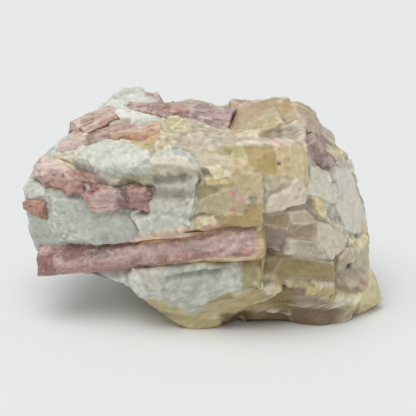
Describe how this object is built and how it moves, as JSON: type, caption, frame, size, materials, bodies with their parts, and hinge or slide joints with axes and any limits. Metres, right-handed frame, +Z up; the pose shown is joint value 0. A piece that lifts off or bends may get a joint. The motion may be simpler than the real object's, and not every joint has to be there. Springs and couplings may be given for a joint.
{
  "type": "rubellite in quartz mineral specimen",
  "caption": "Hand-sized broken lump of quartz and white albite with pink rubellite crystals set in its surface, resting on a flat base.",
  "frame": {"origin": "middle of the flat base of the bounding box, on the surface that the rock lies on", "axes": "+X along the rock's length towards the quartz end, -Y towards the face with the long crystal, +Z up"},
  "size_m": [0.0722, 0.0442, 0.0415],
  "materials": {
    "quartz": "milky, glassy on fresh breaks",
    "albite": "matte, sugary",
    "rubellite": "satin, striated"
  },
  "bodies": {
    "root": {"quartz": "quartz", "albite": "albite", "rubellite_long_rod": "rubellite", "rubellite_upper_rod": "rubellite", "rubellite_edge_rod": "rubellite", "rubellite_edge_sliver": "rubellite", "rubellite_cluster": "rubellite", "rubellite_left_stub": "rubellite", "rubellite_ridge_crystal": "rubellite", "rubellite_flank_crystal": "rubellite"}
  },
  "joints": []
}
